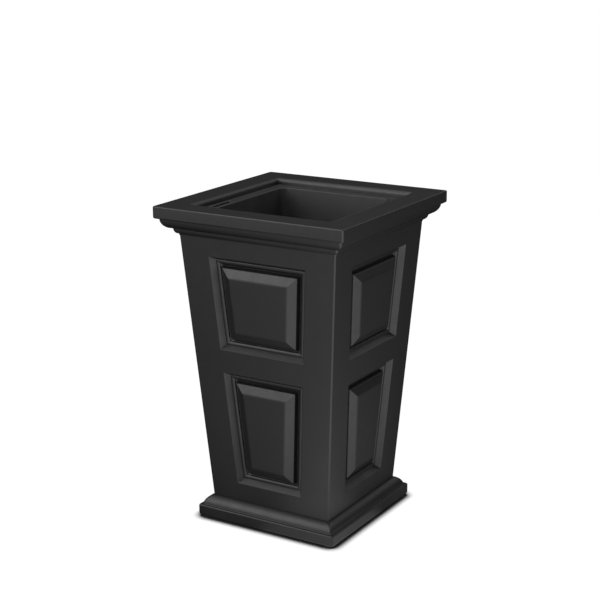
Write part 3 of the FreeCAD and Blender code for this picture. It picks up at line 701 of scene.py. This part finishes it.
def make_pieces():
    """Build the refined pieces over their solids and dress the solids that stay."""
    resin = black_resin()
    made = (
        (make_crown(), "planter", "crown_rim", "black_resin", resin),
        (make_shell(), "planter", "body_shell", "black_resin", resin),
        (make_plinth(), "planter", "base_plinth", "black_resin", resin),
        (make_liner(), "liner", "planting_liner", "liner_resin", liner_resin()),
    )
    for piece, body, node, slot, material in made:
        weight_normals(piece)
        dress(piece, material)
        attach(piece, body)
        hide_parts(node)
    rubber_black, steel = rubber(), screw_steel()
    kept = {
        "drain_grid": grid_resin(),
        "floor_pan": pan_resin(),
        "drain_plug": plug_plastic(),
        "drain_seal": rubber_black,
        "foot_pads": rubber_black,
        "crown_screws": steel,
        "plinth_screws": steel,
    }
    for node, material in kept.items():
        dress(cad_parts[node], material)


def worked(tree, operation, first, second):
    """A sum worked out in a node tree; each side is an output or a plain number."""
    node = tree.nodes.new("ShaderNodeMath")
    node.operation = operation
    for socket, value in zip(node.inputs, (first, second)):
        if isinstance(value, bpy.types.NodeSocket):
            tree.links.new(value, socket)
        else:
            socket.default_value = value
    return node.outputs["Value"]


def clipped(tree, source, first, last, top):
    """A value carried from between two numbers to between 0 and a top, and clipped there."""
    node = tree.nodes.new("ShaderNodeMapRange")
    node.inputs["From Min"].default_value = first
    node.inputs["From Max"].default_value = last
    node.inputs["To Max"].default_value = top
    tree.links.new(source, node.inputs["Value"])
    return node.outputs["Result"]


def seen_strength(tree, seen, mirrored, surround):
    """Strength for the camera and through glass, in gloss, and for all other light."""
    paths = tree.nodes.new("ShaderNodeLightPath")
    gloss = paths.outputs["Is Glossy Ray"]
    straight = worked(tree, "MAXIMUM", paths.outputs["Is Camera Ray"], paths.outputs["Is Transmission Ray"])
    rest = worked(tree, "SUBTRACT", 1.0, worked(tree, "MAXIMUM", straight, gloss))
    total = 0.0
    for ray, strength in ((straight, seen), (gloss, mirrored), (rest, surround)):
        total = worked(tree, "ADD", total, worked(tree, "MULTIPLY", ray, strength))
    return total


def painted_lit_floor(tree):
    """Painted light on the floor, seen in gloss only: a glow that is bright on the side at PAINTED_LIGHT_TURN
    and falls off round the planter, with painted shade close to it.
    """
    coordinates = tree.nodes.new("ShaderNodeTexCoord")
    outward = tree.nodes.new("ShaderNodeVectorMath")
    outward.operation = "NORMALIZE"
    tree.links.new(coordinates.outputs["Object"], outward.inputs[0])
    toward = tree.nodes.new("ShaderNodeVectorMath")
    toward.operation = "DOT_PRODUCT"
    toward.inputs[1].default_value = (math.sin(PAINTED_LIGHT_TURN), -math.cos(PAINTED_LIGHT_TURN), 0)
    tree.links.new(outward.outputs["Vector"], toward.inputs[0])
    # Painted light: this ramp sets how brightly the floor glows in gloss on each side of the planter.
    painted_light_ramp = tree.nodes.new("ShaderNodeValToRGB")
    stops = painted_light_ramp.color_ramp.elements
    for _ in PAINTED_LIGHT_STOPS[2:]:
        stops.new(1.0)
    for stop, (position, strength) in zip(stops, PAINTED_LIGHT_STOPS):
        stop.position = position
        stop.color = (strength, strength, strength, 1)
    tree.links.new(clipped(tree, toward.outputs["Value"], -1.0, 1.0, 1.0), painted_light_ramp.inputs["Fac"])
    # Painted shade: the gloss glow is darkened close to the planter, fading out by PAINTED_SHADE_REACH.
    distance = tree.nodes.new("ShaderNodeVectorMath")
    distance.operation = "LENGTH"
    tree.links.new(coordinates.outputs["Object"], distance.inputs[0])
    clear = clipped(tree, distance.outputs["Value"], 0.0, PAINTED_SHADE_REACH, 1.0)
    return worked(tree, "MULTIPLY", clear, painted_light_ramp.outputs["Color"])


def painted_contact_shadow(tree):
    """Painted shadow: dark where the planter stands close over the floor, and 1 away from it, taken from
    ambient occlusion.
    """
    node = tree.nodes.new("ShaderNodeAmbientOcclusion")
    node.inputs["Distance"].default_value = SHADOW_REACH
    return clipped(tree, node.outputs["AO"], SHADOW_FROM, SHADOW_TO, 1.0)


def make_floor():
    """A wide pale floor that shows white to the camera, with a painted contact shadow in that glow and a
    painted light on one side in gloss.
    """
    mesh = bmesh.new()
    bmesh.ops.create_grid(mesh, x_segments=1, y_segments=1, size=FLOOR_REACH)
    floor = finished(mesh, "floor")
    material, tree, shader = new_material("floor")
    shader.inputs["Base Color"].default_value = (FLOOR_GREY, FLOOR_GREY, FLOOR_GREY, 1)
    shader.inputs["Roughness"].default_value = 1.0
    shader.inputs["Specular IOR Level"].default_value = 0.0
    shader.inputs["Emission Color"].default_value = (FLOOR_GLOW, FLOOR_GLOW, FLOOR_GLOW, 1)
    # The camera sees the glow darkened by the painted contact shadow; gloss sees the painted light on one
    # side.
    strength = seen_strength(tree, painted_contact_shadow(tree), painted_lit_floor(tree), 0.0)
    tree.links.new(strength, shader.inputs["Emission Strength"])
    dress(floor, material)


def make_world():
    """White to the camera, and a grey room for everything else."""
    world = bpy.data.worlds.new("studio")
    bpy.context.scene.world = world
    world.use_nodes = True
    tree = world.node_tree
    background = tree.nodes["Background"]
    background.inputs["Color"].default_value = (1, 1, 1, 1)
    strength = seen_strength(tree, 1.0, ROOM_MIRRORED, ROOM_GREY)
    tree.links.new(strength, background.inputs["Strength"])


def softbox(name, azimuth, elevation, distance, size, power):
    """A soft lamp that looks at the planter; azimuth is 0 in front and 90 on the right."""
    data = bpy.data.lights.new(name, "AREA")
    data.shape = "RECTANGLE"
    data.size, data.size_y = size
    data.energy = power
    lamp = bpy.data.objects.new(name, data)
    turn, rise = math.radians(azimuth), math.radians(elevation)
    away = Vector((math.sin(turn) * math.cos(rise), -math.cos(turn) * math.cos(rise), math.sin(rise)))
    lamp.location = LAMP_TARGET + away * distance
    lamp.rotation_euler = away.to_track_quat("Z", "Y").to_euler()
    lamp.visible_camera = False
    bpy.context.scene.collection.objects.link(lamp)


def make_lamps():
    """A low softbox on the right, one over the front left, a broad one overhead and a dim one behind."""
    softbox("right_box", 60, 5, 1.7, (1.3, 0.8), 2)
    softbox("left_box", -35, 30, 2.0, (1.6, 1.6), 14)
    softbox("top_box", -40, 78, 1.9, (2.0, 2.0), 12)
    softbox("back_box", 149, 48, 2.0, (2.0, 2.0), 6)


def make_camera():
    """The camera that took the photograph, as fitted."""
    data = bpy.data.cameras.new("camera")
    data.lens = CAMERA_LENS
    data.sensor_width = SENSOR
    camera = bpy.data.objects.new("camera", data)
    camera.location = CAMERA_PLACE
    swing = Euler((math.pi / 2 - CAMERA_PITCH, 0, CAMERA_TURN)).to_matrix()
    roll = Euler((0, 0, CAMERA_ROLL)).to_matrix()
    camera.rotation_euler = (swing @ roll).to_euler()
    bpy.context.scene.collection.objects.link(camera)
    bpy.context.scene.camera = camera


bpy.context.scene.view_settings.view_transform = "Standard"
make_pieces()
make_floor()
make_world()
make_lamps()
make_camera()
